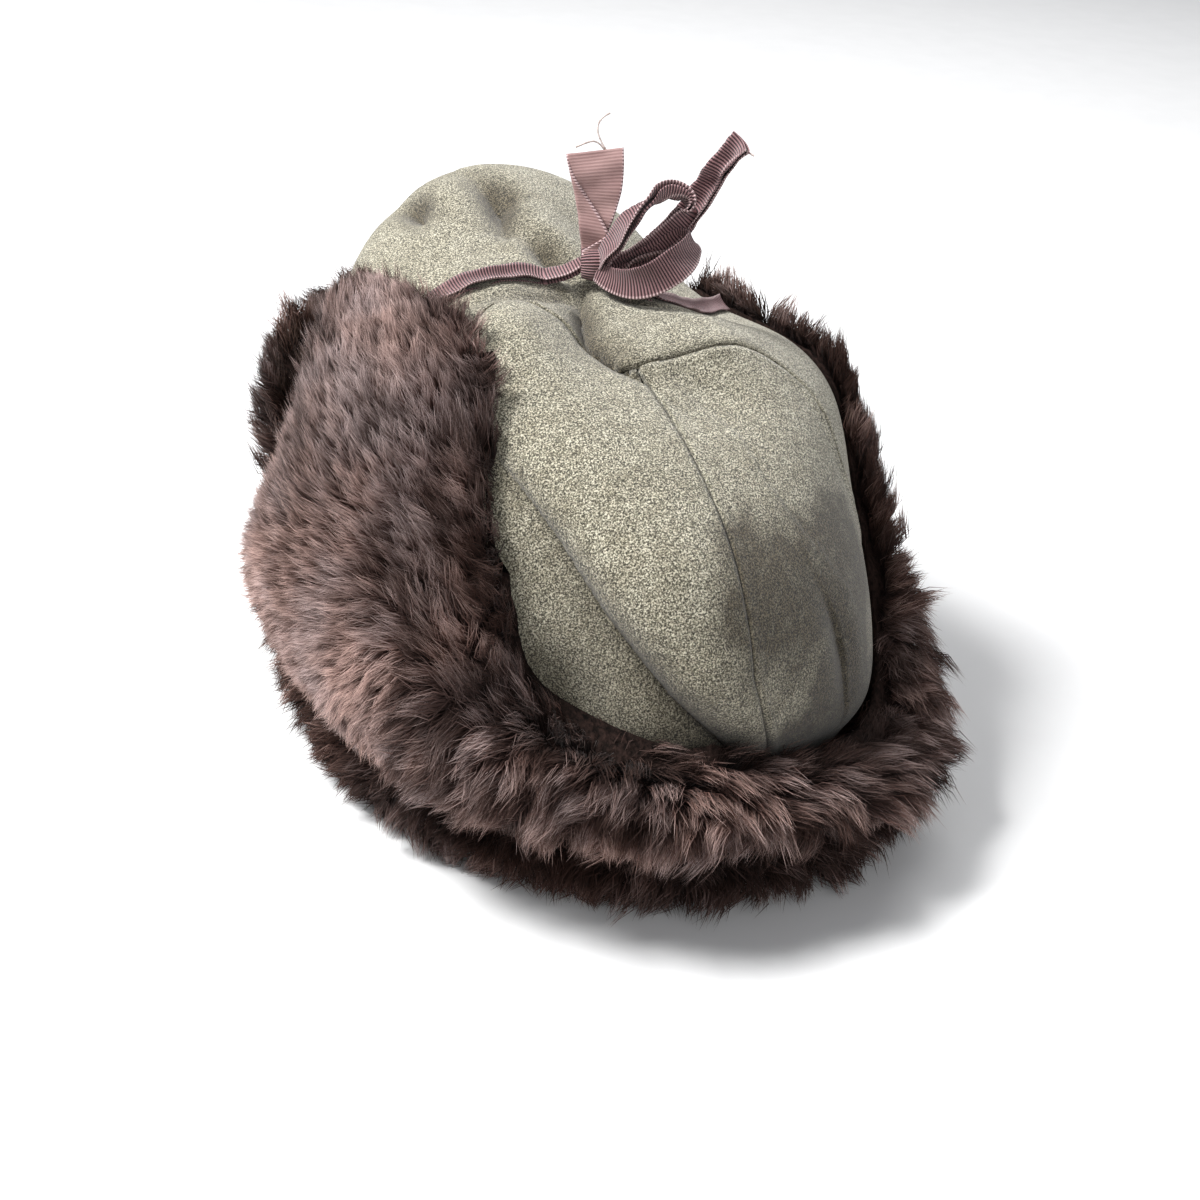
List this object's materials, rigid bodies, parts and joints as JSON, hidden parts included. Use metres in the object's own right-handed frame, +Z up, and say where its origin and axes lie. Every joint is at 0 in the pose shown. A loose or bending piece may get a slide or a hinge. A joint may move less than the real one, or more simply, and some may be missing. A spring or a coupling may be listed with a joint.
{
  "type": "fur hat",
  "caption": "Felt winter hat with deep fur ear, nape and brow flaps turned up against a rounded crown and tied over the top with a ribbon bow.",
  "frame": {"origin": "on the surface that the hat rests on, under the middle of its bounding box", "axes": "+Z up, -Y towards the brow, +X towards the wearer's left"},
  "size_m": [0.2296, 0.2864, 0.208],
  "materials": {
    "felt": "heathered olive and beige wool felt, matt and slightly fuzzy",
    "fur": "deep chocolate brown fur with lighter tips",
    "ribbon": "dusky mauve brown ribbed ribbon with a soft sheen"
  },
  "bodies": {
    "root": {"crown_front": "felt", "crown_back_left": "felt", "crown_back_right": "felt", "ear_nape_flap": "fur", "brow_flap": "fur", "rim_fur": "fur", "ribbon_left": "ribbon", "ribbon_right": "ribbon", "bow_knot": "ribbon", "bow_tail_left": "ribbon", "bow_tail_right": "ribbon", "bow_loop_upper": "ribbon", "bow_loop_lower": "ribbon"}
  },
  "joints": []
}
